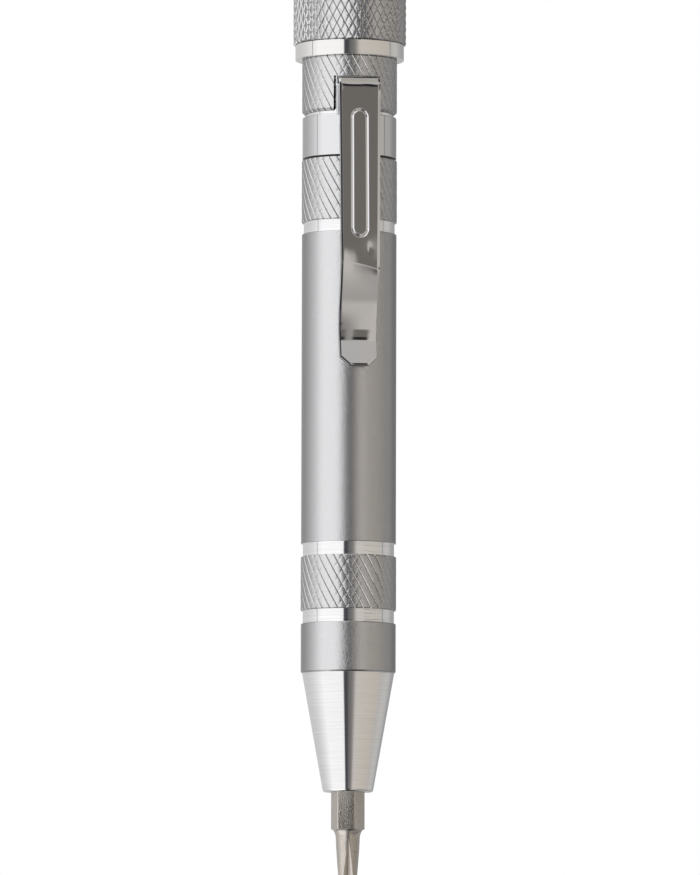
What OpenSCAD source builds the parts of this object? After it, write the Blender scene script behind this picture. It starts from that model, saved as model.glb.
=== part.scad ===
// Pocket screwdriver with a turned metal handle, a pocket clip, a swivelling
// head and a hexagonal bit, at real size in millimetres.
// It stands along Z with the head up. The origin is at the bit's tip, on the
// handle's axis. The clip faces -Y, turned a little towards +X.

/* [Bits] */
// Width of every bit across its flats
bit_af = 4; // [3.7:0.05:4.3]
// How far the corners of the hexagon are eased, measured along the radius
bit_corner_ease = 0.045; // [0.02:0.005:0.12]
// Length of every bit from tip to end
bit_len = 28; // [26:0.5:31]
// Height of the hexagon's lower end above the tip
bit_hex_from = 9.8; // [8.8:0.1:11]
// Chamfer on the inner end of a bit
bit_end_chamfer = 0.4; // [0.2:0.05:0.6]
// Height of the round neck's upper end above the tip
bit_neck_top = 8.4; // [7.6:0.1:8.6]
// Diameter of the driver bit's neck where it meets the hexagon
bit_neck_d = 3.22; // [2.8:0.02:3.5]
// Diameter of the driver bit where its point begins
bit_point_d = 2.6; // [2.3:0.02:2.7]
// Length of the driver bit's conical point
bit_point_len = 1.6; // [1.2:0.1:2.2]
// Diameter of the flat on the driver bit's tip
bit_tip_d = 1; // [0.6:0.05:1.4]
// Height at which the driver bit's flutes run out
flute_top = 8.6; // [7:0.1:9.2]
// Height at which the flutes change from their steady slope to the run-out
flute_knee = 3.7; // [3:0.1:4.4]
// Distance of a flute's floor from the axis at the tip
flute_tip_r = 0.3; // [0.2:0.02:0.4]
// Distance of a flute's floor from the axis at the knee
flute_knee_r = 0.62; // [0.5:0.02:0.75]
// Turn of the driver bit's front flat away from the front
bit_turn = -6.7; // [-30:0.1:30]
// Turn of the flutes against the hexagon's flats
flute_turn = 9.7; // [0:0.1:30]

/* [Nose] */
// How far the driver bit stands out of the nose
bit_out = 14.8; // [13.6:0.02:17]
// Length of the nose's cone
nose_len = 15.96; // [14:0.02:20]
// Wall of the nose at its mouth, before it is rounded
mouth_wall = 0.94; // [0.7:0.02:1.2]
// Step from the handle's surface in to the nose's upper rim
nose_step = 0.2; // [0:0.05:0.5]
// Radius of the rounded mouth
nose_round = 0.3; // [0.2:0.05:0.6]
// Thickness of the lip that holds the bit socket in the nose
nose_lip = 1; // [0.7:0.05:1.6]
// Length of the spigot that goes up into the handle
spigot_len = 8.5; // [7:0.1:10]
// Wall of the steel bit socket outside the corners of its hexagonal hole
socket_wall = 0.63; // [0.5:0.01:0.7]
// Wall of the bit socket above its magnet
socket_end = 0.5; // [0.3:0.05:1.5]
// How far the magnet reaches past the corners of the hexagonal hole
magnet_lap = 0.03; // [0.02:0.01:0.1]
// Length of the magnet
magnet_len = 4; // [2:0.1:5]

/* [Handle] */
// Wall of the handle's thin neck, which the clip's band and the upper sleeve go round
neck_wall = 0.55; // [0.4:0.01:0.8]
// Step from the thin neck out to the satin handle
neck_step = 0.55; // [0.52:0.01:0.8]
// Length of the plain band next to the nose
lower_band_len = 6.7; // [4:0.1:12]
// Length of the grip's knurled band
grip_len = 7.3; // [4:0.1:12]
// Length of the long satin part
satin_len = 41.95; // [36:0.05:50]
// Length of the knurled band below the clip
clip_knurl_len = 8.5; // [5:0.1:12]
// Width of the groove below the grip
low_groove_len = 1.75; // [1:0.05:2.5]
// Width of the groove above the grip
grip_groove_len = 1.75; // [1:0.05:2.5]
// Width of the groove below the clip's knurled band
clip_groove_len = 1.55; // [1:0.05:2.5]
// Depth of the grooves
groove_depth = 0.25; // [0.18:0.01:0.45]
// How far a knurled band stands above the satin handle
knurl_rise = 0.04; // [0:0.01:0.1]
// Chamfer on the edges of bands and sleeves
edge_break = 0.12; // [0.05:0.01:0.16]

/* [Clip] */
// Thickness of the clip's steel sheet
sheet = 0.46; // [0.35:0.01:0.5]
// Height of the clip's band
band_len = 5.8; // [4:0.05:7]
// Turn of the clip from the front towards +X
clip_turn = 10.2; // [-30:0.1:30]
// Gap of the seam at the back of the band
seam_gap = 0.4; // [0.2:0.05:1]
// Width of the clip at its fold
arm_top_w = 5.66; // [4.5:0.02:6]
// Width of the clip at its foot
arm_foot_w = 4.97; // [4:0.01:6]
// Inner radius of the fold
fold_r = 0.55; // [0.4:0.05:0.8]
// Height of the fold's centre above the band
fold_rise = 3.9; // [3:0.05:4.6]
// Length of the arm's flat upper part
arm_flat_len = 24.1; // [18:0.1:26]
// Outward lean of the flat upper part
arm_lean = 2.4; // [1:0.1:4]
// Inward lean of the arm's lower part
arm_press = 17; // [9:0.1:20]
// Bending radius between the two parts
arm_bend_r = 2.5; // [2:0.1:12]
// Bending radius where the arm touches the handle
contact_bend_r = 12; // [1.2:0.1:16]
// Outward lean of the foot
foot_lean = 12.6; // [6:0.2:20]
// Length of the foot below the contact bend
foot_len = 2.7; // [2:0.1:4]
// Cut across the foot's corners
foot_corner = 1.15; // [0.5:0.05:1.5]
// Gap between the clip's contact bend and the handle
contact_gap = 0.05; // [0.03:0.01:0.3]
// Width of the pressed ring on the arm
ring_w = 2.46; // [1.8:0.02:3.2]
// Length of the pressed ring on the arm
ring_len = 17.7; // [12:0.1:18]
// Width of the pressed ring's groove
ring_line = 0.45; // [0.3:0.01:0.6]
// Depth of the pressed ring's groove
ring_depth = 0.12; // [0.05:0.01:0.2]
// Distance from the fold's centre to the ring's upper end
ring_from = 3.35; // [2:0.05:3.6]

/* [Upper sleeve] */
// How far the knurled upper sleeve stands above the satin handle
sleeve_rise = 0.025; // [0:0.005:0.2]
// Length of the upper sleeve
sleeve_len = 7.35; // [6.2:0.05:9]
// Open gap between the clip's band and the sleeve
sleeve_gap = 0.45; // [0.3:0.05:0.8]
// Space on each side of the clip's tongue in the sleeve's slot
slot_side_gap = 0.35; // [0.2:0.05:0.5]
// Space above the clip's fold in the sleeve's slot
slot_top_gap = 0.2; // [0.15:0.05:0.5]

/* [Cap] */
// How far the bright collar stands above the satin handle
collar_rise = 0.95; // [0.5:0.05:1.2]
// Height of the collar
collar_len = 2.05; // [1.6:0.05:3]
// Radius of the collar's lower edge
collar_round = 0.2; // [0.1:0.02:0.6]
// Gap between the collar and the upper sleeve
collar_gap = 0.1; // [0.05:0.01:0.3]
// Length of the plug in the handle's bore
plug_len = 5.9; // [5.6:0.1:8]
// Thickness of the sealing ring's section
seal_section = 0.9; // [0.7:0.05:1.1]
// Depth of the sealing ring's centre below the collar
seal_drop = 3.2; // [2.4:0.1:3.6]
// Diameter of the post that the head turns on
post_d = 5; // [4:0.1:6]
// Height of the post above the collar
post_len = 3.5; // [3.4:0.1:3.7]
// Thickness of the washer under the head
washer_thick = 0.3; // [0.2:0.05:0.5]
// Step from the collar's edge in to the washer's
washer_step = 0.75; // [0.5:0.05:1.5]
// Thickness of the snap ring on the post
snap_thick = 0.4; // [0.3:0.05:0.5]
// Depth of the post's groove for the snap ring
snap_depth = 0.4; // [0.3:0.02:0.5]
// Height of the snap ring above the collar
snap_rise = 2.2; // [1.9:0.1:2.4]
// How far the snap ring stands out of the post
snap_out = 0.45; // [0.3:0.02:0.6]
// Diameter of the thrust ball
ball_d = 2.4; // [1.8:0.1:2.8]
// Depth of the ball's seat in the post
ball_seat = 1.3; // [1:0.1:1.4]

/* [Head] */
// How far the knurled head stands above the satin handle
head_rise = 1.25; // [0.8:0.05:1.8]
// Height of the head
head_len = 6.6; // [6.2:0.05:9]
// Open gap between the collar and the head's rim
rim_gap = 0.1; // [0.06:0.02:0.2]
// Chamfer round the head's top
head_top_chamfer = 0.6; // [0.3:0.05:1.2]
// Chamfer round the head's lower edge
head_low_chamfer = 0.25; // [0.1:0.05:0.5]

/* [Bit rack] */
// Web between the corners of neighbouring pockets
rack_web = 0.46; // [0.4:0.01:0.6]
// Wall of the rack outside the outer flat of each pocket
rack_rim = 0.17; // [0.15:0.01:0.3]
// Width of the window along each pocket
window_w = 2.2; // [1.2:0.05:2.2]
// Gap between the rack's lower end and the nose's spigot
rack_gap = 2; // [1:0.1:4]
// Thickness of the rack's end discs
disc_thick = 1.2; // [0.8:0.1:2]
// Diameter of the stem between the end discs
stem_d = 5; // [4:0.1:8]
// Diameter of the peg that holds the rack in the plug
peg_d = 3; // [2:0.1:4]
// Length of the peg
peg_len = 3; // [2:0.1:4]
// Bits stacked end to end in one pocket
tiers = 2; // [1:1:2]

/* [Clearances] */
// Gap all round between pieces that slide or turn
running_gap = 0.05; // [0.02:0.01:0.08]
// Gap all round between the bit rack and the handle's bore
rack_play = 0.08; // [0.05:0.01:0.1]
// Gap all round between pieces that are pressed or screwed together
seat_gap = 0.02; // [0.01:0.01:0.04]
// Gap that the clip's fold turns in
hinge_gap = 0.13; // [0.12:0.01:0.3]
// Gap at each end of a stored bit
stored_gap = 0.2; // [0.1:0.05:0.5]

/* [Hidden] */

// Steps round a turned piece, and along a short bend
round_steps = 96;
bend_steps = 8;
// How far a cut runs past the face that it opens
overrun = 0.5;

// Stored bits: neck diameters, and the sizes of their working ends
small_neck_d = 2;
fine_neck_d = 1.6;
small_point_d = 1.8;
fine_point_d = 1.4;
small_point_len = 1;
small_tip_d = 0.5;
fine_tip_d = 0.36;
small_flute_top = 6;
small_flute_tip_r = 0.16;
fine_flute_tip_r = 0.12;
small_blade_w = 2;
wide_blade_w = 3;
blade_thick = 0.4;
blade_len = 4.5;
star_d = 1.75;
star_flute_d = 0.42;
star_len = 3;
key_af = 2;
key_len = 7;

// Radii, worked out from the bits to the rack that stores them, and so to the handle
bit_corner_r = bit_af / sqrt(3) - bit_corner_ease;
pocket_r = (bit_af / 2 + running_gap) / cos(30);
rack_reach = (2 * pocket_r + rack_web) / sqrt(3);
rack_r = rack_reach + bit_af / 2 + running_gap + rack_rim;
bore_r = rack_r + rack_play;
neck_r = bore_r + neck_wall;
handle_r = neck_r + neck_step;
knurl_r = handle_r + knurl_rise;
groove_r = handle_r - groove_depth;
sleeve_r = handle_r + sleeve_rise;
collar_r = handle_r + collar_rise;
head_r = handle_r + head_rise;
washer_r = collar_r - washer_step;
post_r = post_d / 2;
plug_r = bore_r - running_gap;
spigot_r = bore_r - seat_gap;
band_in_r = neck_r + running_gap;
band_out_r = band_in_r + sheet;
socket_r = pocket_r + socket_wall;
magnet_r = pocket_r + magnet_lap;
lip_bore_r = pocket_r + running_gap;
mouth_r = lip_bore_r + mouth_wall;
nose_top_r = handle_r - nose_step;

// Heights from the bit's tip upwards
mouth_z = bit_out;
nose_top_z = mouth_z + nose_len;
spigot_top_z = nose_top_z + spigot_len;
low_groove_z = nose_top_z + lower_band_len;
grip_z = low_groove_z + low_groove_len;
grip_groove_z = grip_z + grip_len;
satin_z = grip_groove_z + grip_groove_len;
clip_groove_z = satin_z + satin_len;
clip_knurl_z = clip_groove_z + clip_groove_len;
band_z = clip_knurl_z + clip_knurl_len;
band_top_z = band_z + band_len;
sleeve_z = band_top_z + sleeve_gap;
neck_top_z = sleeve_z + sleeve_len;
collar_z = neck_top_z + collar_gap;
collar_top_z = collar_z + collar_len;
head_z = collar_top_z + rim_gap;
head_top_z = head_z + head_len;
magnet_z = bit_len + running_gap;
socket_z = mouth_z + nose_lip;
socket_top_z = magnet_z + magnet_len + socket_end;

// The clip's side view is worked out in a plane of radius and height
fold_mid_r = fold_r + sheet / 2;
fold_axis_r = band_out_r + fold_r;
fold_z = band_top_z + fold_rise;
fold_top_z = fold_z + fold_r + sheet;
fold_axis = [fold_axis_r, fold_z];
flat_start = fold_axis + fold_mid_r * outward(arm_lean);
flat_end = flat_start + arm_flat_len * down_along(arm_lean);
bend_axis = flat_end - arm_bend_r * outward(arm_lean);
press_start = bend_axis + arm_bend_r * outward(-arm_press);
contact_mid_r = handle_r + contact_gap + sheet / 2;
contact_edge_r = contact_mid_r + contact_bend_r * (1 - cos(arm_press));
press_len = (press_start[0] - contact_edge_r) / sin(arm_press);
press_end = press_start + press_len * down_along(-arm_press);
contact_axis = press_end + contact_bend_r * outward(-arm_press);
foot_start = contact_axis - contact_bend_r * outward(foot_lean);
foot_end = foot_start + foot_len * down_along(foot_lean);

// The cap's plug, post and rack
plug_z = collar_z - plug_len;
seal_z = collar_z - seal_drop;
seal_mid_r = bore_r - seat_gap - seal_section / 2;
seal_groove_r = seal_mid_r - seal_section / 2 - seat_gap;
seal_groove_half = seal_section / 2 + running_gap;
post_top_z = collar_top_z + post_len;
ball_floor_z = post_top_z - ball_seat;
ball_r = ball_d / 2;
head_bore_top_z = ball_floor_z + ball_d + running_gap;
washer_roof_z = collar_top_z + washer_thick + running_gap;
snap_z = collar_top_z + snap_rise;
snap_in_r = post_r - snap_depth + running_gap;
snap_out_r = post_r + snap_out;
rack_z = spigot_top_z + rack_gap;
pocket_len = tiers * (bit_len + stored_gap) + stored_gap;
pocket_top_z = rack_z + pocket_len;

// Unit vector square to the clip's sheet, pointing away from the handle
function outward(lean) = [cos(lean), sin(lean)];

// Unit vector down along the clip's sheet
function down_along(lean) = [sin(lean), -cos(lean)];

// Points on an arc round a centre, between two leans
function arc(centre, radius, from, to, steps) =
    [for (i = [0:steps]) centre + radius * outward(from + (to - from) * i / steps)];

// Points in the opposite order
function reversed(points) = [for (i = [len(points) - 1:-1:0]) points[i]];

// One edge of the clip's side view, a distance away from the sheet's middle
function arm_edge(away) = concat(
    arc(fold_axis, fold_mid_r + away, 180, arm_lean, 3 * bend_steps),
    arc(bend_axis, arm_bend_r + away, arm_lean, -arm_press, bend_steps),
    arc(contact_axis, away - contact_bend_r, -arm_press, foot_lean, bend_steps),
    [foot_end + away * outward(foot_lean)]
);

// Outline of one turned band with both edges chamfered
function band(radius, from, to) = [
    [radius - edge_break, from],
    [radius, from + edge_break],
    [radius, to - edge_break],
    [radius - edge_break, to]
];

// A solid turned from points of radius and height
module turned(points) {
    rotate_extrude($fn = round_steps) polygon(points);
}

// A hexagonal bar with two of its flats facing Y
module hex_bar(corner_r, from, to) {
    translate([0, 0, from]) cylinder(h = to - from, r = corner_r, $fn = 6);
}

// A flat shape with round ends, along X from zero
module stadium(length, width) {
    translate([width / 2, 0]) circle(d = width, $fn = round_steps);
    translate([length - width / 2, 0]) circle(d = width, $fn = round_steps);
    translate([width / 2, -width / 2]) square([length - width, width]);
}

// Puts what is drawn along +X where the clip is
module at_clip() {
    rotate([0, 0, clip_turn - 90]) children();
}

// The tube of the handle, with its bands, grooves and thin upper neck
module handle() {
    outside = concat(
        band(handle_r, nose_top_z, low_groove_z),
        [[groove_r, low_groove_z], [groove_r, grip_z]],
        band(knurl_r, grip_z, grip_groove_z),
        [[groove_r, grip_groove_z], [groove_r, satin_z]],
        band(handle_r, satin_z, clip_groove_z),
        [[groove_r, clip_groove_z], [groove_r, clip_knurl_z]],
        band(knurl_r, clip_knurl_z, band_z),
        [[neck_r, band_z], [neck_r, neck_top_z]]
    );
    color("lightgray") turned(concat(outside, [[bore_r, neck_top_z], [bore_r, nose_top_z]]));
}

// The knurled sleeve on the neck, slotted for the clip's tongue
module upper_sleeve() {
    slot_w = arm_top_w + 2 * slot_side_gap;
    slot_top_z = fold_top_z + slot_top_gap;
    inner_r = neck_r + seat_gap;
    color("lightgray") difference() {
        turned(concat([[inner_r, sleeve_z]], band(sleeve_r, sleeve_z, neck_top_z), [[inner_r, neck_top_z]]));
        at_clip() translate([0, -slot_w / 2, sleeve_z - overrun])
            cube([sleeve_r + overrun, slot_w, slot_top_z - sleeve_z + overrun]);
    }
}

// The polished cone, with its lip at the mouth and its spigot in the handle
module nose_cone() {
    taper = atan((nose_top_r - mouth_r) / nose_len);
    round_axis = [mouth_r + nose_round * (tan(taper) - 1 / cos(taper)), mouth_z + nose_round];
    inner_r = socket_r + seat_gap;
    cone = arc(round_axis, nose_round, -90, -taper, bend_steps);
    color("silver") turned(concat(
        [[lip_bore_r, mouth_z]],
        cone,
        [
            [nose_top_r, nose_top_z],
            [spigot_r, nose_top_z],
            [spigot_r, spigot_top_z - edge_break],
            [spigot_r - edge_break, spigot_top_z],
            [inner_r, spigot_top_z],
            [inner_r, socket_z],
            [lip_bore_r, socket_z]
        ]
    ));
}

// The steel socket in the nose: a hexagonal hole, and a round one for the magnet
module bit_socket() {
    color("dimgray") difference() {
        turned([[0, socket_z], [socket_r, socket_z], [socket_r, socket_top_z], [0, socket_top_z]]);
        rotate([0, 0, bit_turn]) hex_bar(pocket_r, socket_z - overrun, magnet_z);
        translate([0, 0, magnet_z])
            cylinder(h = socket_top_z - magnet_z + overrun, r = magnet_r + seat_gap, $fn = round_steps);
    }
}

// The round magnet that holds the bit
module socket_magnet() {
    color("slategray") translate([0, 0, magnet_z]) cylinder(h = magnet_len, r = magnet_r, $fn = round_steps);
}

// The band of the clip round the neck, with the tongue that rises from it
module clip_band() {
    color("whitesmoke") {
        difference() {
            turned(concat([[band_in_r, band_z]], band(band_out_r, band_z, band_top_z), [[band_in_r, band_top_z]]));
            at_clip() translate([-band_out_r - overrun, -seam_gap / 2, band_z - overrun])
                cube([band_out_r, seam_gap, band_len + 2 * overrun]);
        }
        at_clip() translate([band_in_r, -arm_top_w / 2, band_top_z - 2 * edge_break])
            cube([sheet, arm_top_w, fold_rise - hinge_gap + 2 * edge_break]);
    }
}

// The fold and the springy arm of the clip, with its pressed ring
module clip_arm() {
    top_z = fold_top_z + overrun;
    foot_z = foot_end[1] - sheet * sin(foot_lean) / 2;
    reach = flat_end[0] + sheet;
    face_start = flat_start + sheet / 2 * outward(arm_lean);
    front = [
        [-arm_top_w / 2, top_z],
        [-arm_top_w / 2, fold_z],
        [-arm_foot_w / 2, foot_z + foot_corner],
        [foot_corner - arm_foot_w / 2, foot_z],
        [arm_foot_w / 2 - foot_corner, foot_z],
        [arm_foot_w / 2, foot_z + foot_corner],
        [arm_top_w / 2, fold_z],
        [arm_top_w / 2, top_z]
    ];
    color("whitesmoke") at_clip() difference() {
        intersection() {
            rotate([90, 0, 0]) linear_extrude(height = 2 * arm_top_w + arm_foot_w, center = true)
                polygon(concat(arm_edge(sheet / 2), reversed(arm_edge(-sheet / 2))));
            rotate([90, 0, 90]) linear_extrude(height = reach) polygon(front);
        }
        translate([face_start[0], 0, face_start[1]]) rotate([0, 90 - arm_lean, 0])
            translate([ring_from, 0, -ring_depth]) linear_extrude(height = ring_depth + overrun)
                difference() {
                    stadium(ring_len, ring_w);
                    translate([ring_line, 0]) stadium(ring_len - 2 * ring_line, ring_w - 2 * ring_line);
                }
    }
}

// A blank bit: a hexagonal bar turned down to a neck and a point
module bit_blank(neck, point, point_len, tip) {
    fillet_r = bit_corner_r - neck / 2;
    rise = bit_hex_from - bit_neck_top;
    fillet = [for (i = [1:bend_steps - 1]) let (turn = 90 * i / bend_steps)
        [neck / 2 + fillet_r * (1 - cos(turn)), bit_neck_top + rise * sin(turn)]];
    intersection() {
        hex_bar(bit_af / sqrt(3), 0, bit_len);
        turned(concat(
            [[0, 0], [tip / 2, 0], [point / 2, point_len], [neck / 2, bit_neck_top]],
            fillet,
            [
                [bit_corner_r, bit_hex_from],
                [bit_corner_r, bit_len - bit_end_chamfer],
                [bit_corner_r - bit_end_chamfer, bit_len],
                [0, bit_len]
            ]
        ));
    }
}

// A straight cut with a square corner whose edge rises outwards between two heights
module flute_cut(from, to, from_r, to_r) {
    slope = atan((to_r - from_r) / (to - from));
    length = norm([to_r - from_r, to - from]);
    translate([from_r, 0, from]) rotate([0, slope, 0]) rotate([0, 0, -45])
        cube([bit_af, bit_af, length]);
}

// Four flutes round the point of a cross bit
module cross_flutes(tip_r, knee, knee_r, top, top_r) {
    for (i = [0:3]) {
        rotate([0, 0, 90 * i]) {
            flute_cut(-overrun, knee, tip_r - overrun * (knee_r - tip_r) / knee, knee_r);
            flute_cut(knee, top, knee_r, top_r);
        }
    }
}

// A cross bit with its four flutes
module cross_bit(neck, point, point_len, tip, tip_r, knee, knee_r, top) {
    difference() {
        bit_blank(neck, point, point_len, tip);
        cross_flutes(tip_r, knee, knee_r, top, neck / 2);
    }
}

// A bit with a straight blade
module slot_bit(blade_w) {
    difference() {
        bit_blank(blade_w, blade_w, edge_break, blade_w - 2 * edge_break);
        for (side = [-1, 1]) {
            translate([0, side * (blade_thick + blade_w) / 2, -overrun]) rotate([-side * blade_taper(blade_w), 0, 0])
                translate([-blade_w, -blade_w / 2, -overrun]) cube([2 * blade_w, blade_w, blade_len + overrun]);
        }
    }
}

// Angle of a blade's faces, from its thin edge out to the neck
function blade_taper(blade_w) = atan((blade_w - blade_thick) / 2 / (blade_len + overrun)) / 2;

// Puts a stored bit in one of the rack's pockets
module in_rack(pocket, tier) {
    rotate([0, 0, 120 * pocket + 30])
        translate([rack_reach, 0, rack_z + stored_gap + tier * (bit_len + stored_gap)])
            rotate([0, 0, 30]) children();
}

// The cross bit in use
module driver_bit() {
    color("dimgray") rotate([0, 0, bit_turn]) difference() {
        bit_blank(bit_neck_d, bit_point_d, bit_point_len, bit_tip_d);
        rotate([0, 0, flute_turn - 90])
            cross_flutes(flute_tip_r, flute_knee, flute_knee_r, flute_top, bit_neck_d / 2);
    }
}

// The push-in plug with its bright collar and the post for the head
module cap_plug() {
    peg_hole_r = peg_d / 2 + seat_gap;
    peg_hole_z = plug_z + peg_len + running_gap;
    round_axis = [collar_r - collar_round, collar_z + collar_round];
    snap_floor_r = post_r - snap_depth;
    seat_r = ball_r + running_gap;
    color("silver") turned(concat(
        [
            [0, peg_hole_z],
            [peg_hole_r, peg_hole_z],
            [peg_hole_r, plug_z],
            [plug_r - edge_break, plug_z],
            [plug_r, plug_z + edge_break],
            [plug_r, seal_z - seal_groove_half],
            [seal_groove_r, seal_z - seal_groove_half],
            [seal_groove_r, seal_z + seal_groove_half],
            [plug_r, seal_z + seal_groove_half],
            [plug_r, collar_z]
        ],
        arc(round_axis, collar_round, -90, 0, bend_steps),
        [
            [collar_r, collar_top_z - edge_break],
            [collar_r - edge_break, collar_top_z],
            [post_r, collar_top_z],
            [post_r, snap_z - running_gap],
            [snap_floor_r, snap_z - running_gap],
            [snap_floor_r, snap_z + snap_thick + running_gap],
            [post_r, snap_z + snap_thick + running_gap],
            [post_r, post_top_z - edge_break],
            [post_r - edge_break, post_top_z],
            [seat_r, post_top_z],
            [seat_r, ball_floor_z],
            [0, ball_floor_z]
        ]
    ));
}

// The rubber ring that seals the plug
module cap_seal() {
    color("black") translate([0, 0, seal_z]) rotate_extrude($fn = round_steps)
        translate([seal_mid_r, 0]) circle(d = seal_section, $fn = round_steps / 3);
}

// The plastic washer between collar and head
module swivel_washer() {
    inner_r = post_r + running_gap;
    color("ivory") turned([
        [inner_r, collar_top_z],
        [washer_r, collar_top_z],
        [washer_r, collar_top_z + washer_thick],
        [inner_r, collar_top_z + washer_thick]
    ]);
}

// The ring that keeps the head on its post
module swivel_snap_ring() {
    color("gray") turned([
        [snap_in_r, snap_z],
        [snap_out_r, snap_z],
        [snap_out_r, snap_z + snap_thick],
        [snap_in_r, snap_z + snap_thick]
    ]);
}

// The ball that takes the push of the palm
module thrust_ball() {
    color("gray") translate([0, 0, ball_floor_z + ball_r]) sphere(r = ball_r, $fn = round_steps / 2);
}

// The knurled head that turns on the post, with a recess for the washer
module swivel_head() {
    inner_r = post_r + running_gap;
    groove_out_r = snap_out_r + running_gap;
    recess_r = washer_r + running_gap;
    color("gainsboro") turned([
        [inner_r, washer_roof_z],
        [recess_r, washer_roof_z],
        [recess_r, head_z],
        [head_r - head_low_chamfer, head_z],
        [head_r, head_z + head_low_chamfer],
        [head_r, head_top_z - head_top_chamfer],
        [head_r - head_top_chamfer, head_top_z],
        [0, head_top_z],
        [0, head_bore_top_z],
        [inner_r, head_bore_top_z],
        [inner_r, snap_z + snap_thick + running_gap],
        [groove_out_r, snap_z + snap_thick + running_gap],
        [groove_out_r, snap_z - running_gap],
        [inner_r, snap_z - running_gap]
    ]);
}

// The plastic rack that hangs from the plug, with three long pockets
module bit_rack() {
    color("darkslategray") difference() {
        turned([
            [0, rack_z],
            [rack_r, rack_z],
            [rack_r, pocket_top_z + disc_thick],
            [stem_d / 2, pocket_top_z + disc_thick],
            [stem_d / 2, plug_z - disc_thick],
            [rack_r, plug_z - disc_thick],
            [rack_r, plug_z],
            [peg_d / 2, plug_z],
            [peg_d / 2, plug_z + peg_len],
            [0, plug_z + peg_len]
        ]);
        for (pocket = [0:2]) {
            rotate([0, 0, 120 * pocket + 30]) {
                translate([rack_reach, 0, 0]) rotate([0, 0, 30]) hex_bar(pocket_r, rack_z - overrun, pocket_top_z);
                translate([rack_reach, -window_w / 2, rack_z - overrun])
                    cube([rack_r, window_w, pocket_len + overrun]);
            }
        }
    }
}

// Stored cross bits, the second finer than the first
module cross_bit_0() {
    color("dimgray") in_rack(0, 0)
        cross_bit(small_neck_d, small_point_d, small_point_len, small_tip_d,
            small_flute_tip_r, flute_knee, small_flute_tip_r * 3, small_flute_top);
}

module cross_bit_00() {
    color("dimgray") in_rack(1, 0)
        cross_bit(fine_neck_d, fine_point_d, small_point_len, fine_tip_d,
            fine_flute_tip_r, flute_knee, fine_flute_tip_r * 3, small_flute_top);
}

// Stored bits with straight blades
module slot_bit_2() {
    color("dimgray") in_rack(2, 0) slot_bit(small_blade_w);
}

module slot_bit_3() {
    color("dimgray") in_rack(0, tiers - 1) slot_bit(wide_blade_w);
}

// Stored bit with a six-lobed star end
module star_bit_6() {
    color("dimgray") in_rack(1, tiers - 1) difference() {
        bit_blank(small_neck_d, star_d, small_point_len, star_d - edge_break);
        for (i = [0:5]) {
            rotate([0, 0, 60 * i]) translate([star_d / 2, 0, -overrun])
                cylinder(h = star_len + overrun, d = star_flute_d, $fn = 24);
        }
    }
}

// Stored bit with a hexagonal key end
module hex_bit_2() {
    color("dimgray") in_rack(2, tiers - 1) {
        intersection() {
            bit_blank(key_af / cos(30), key_af / cos(30), edge_break, key_af);
            union() {
                hex_bar(key_af / sqrt(3), 0, bit_neck_top);
                translate([0, 0, key_len]) cylinder(h = bit_len - key_len, r = bit_af, $fn = round_steps);
            }
        }
    }
}

handle();
upper_sleeve();
nose_cone();
bit_socket();
socket_magnet();
clip_band();
clip_arm();
driver_bit();
cap_plug();
cap_seal();
swivel_washer();
swivel_snap_ring();
thrust_ball();
swivel_head();
bit_rack();
cross_bit_0();
cross_bit_00();
slot_bit_2();
slot_bit_3();
star_bit_6();
hex_bit_2();
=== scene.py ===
# %% [markdown]
# # A pocket screwdriver, dressed for its photograph
# The tool hangs upright with its head at the top, its bit at the bottom and its
# clip towards us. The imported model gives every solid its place, and Blender adds
# what a solid can't show: knurling, rolled edges, turning lines, blasted grain
# and the studio that all this metal mirrors.

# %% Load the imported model
import bmesh
import bpy
import numpy as np
from mathutils import Matrix, Vector


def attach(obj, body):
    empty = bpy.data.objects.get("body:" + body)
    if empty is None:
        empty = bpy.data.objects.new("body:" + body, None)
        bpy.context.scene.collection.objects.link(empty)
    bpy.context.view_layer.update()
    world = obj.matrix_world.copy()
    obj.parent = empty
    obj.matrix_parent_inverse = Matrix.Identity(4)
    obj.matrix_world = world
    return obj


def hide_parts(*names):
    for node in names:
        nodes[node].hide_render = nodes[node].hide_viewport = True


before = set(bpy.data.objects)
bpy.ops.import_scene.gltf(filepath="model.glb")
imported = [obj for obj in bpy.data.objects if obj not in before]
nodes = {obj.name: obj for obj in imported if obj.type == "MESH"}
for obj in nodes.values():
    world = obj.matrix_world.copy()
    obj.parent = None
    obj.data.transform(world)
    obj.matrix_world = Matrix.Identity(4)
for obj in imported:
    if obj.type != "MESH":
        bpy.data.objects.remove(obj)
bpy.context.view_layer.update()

# %% [markdown]
# ## Sizes
# Shapes are written in millimetres from the bit's tip upwards, as on a drawing,
# and become metres only when they go into a mesh. The grain of a finish, the
# bevel of the bits, the floor and the camera are in metres, as Blender takes them.

# %% Heights and radii of the turned pieces
MM = 0.001
BORE_R, NECK_R, BODY_R = 5.299, 5.849, 6.399
GROOVE_R, KNURL_R = BODY_R - 0.25, BODY_R + 0.04
NOSE_Z, BAND_TOP_Z = 30.76, 37.46
GRIP_Z, GRIP_TOP_Z = 39.21, 46.51
SATIN_Z, SATIN_TOP_Z = 48.26, 90.21
CLIP_KNURL_Z, CLIP_KNURL_TOP_Z = 91.76, 100.26
BAND_Z, BAND_RIM_Z = 100.26, 106.06
NECK_TOP_Z = 113.93
print("handle:", round(NECK_TOP_Z - NOSE_Z, 2), "mm long,", 2 * BODY_R, "mm across")

# %% [markdown]
# ## Mesh helpers
# Every new piece is an array of points and an array of faces. One helper puts
# them into a mesh, smooths it, and keeps the edges that are sharper than an
# angle. Another gives chosen faces a second finish.

# %% From arrays to a mesh
SHARP = np.radians(28)


def new_object(name, data):
    """A new object in the scene."""
    thing = bpy.data.objects.new(name, data)
    bpy.context.scene.collection.objects.link(thing)
    return thing


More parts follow.
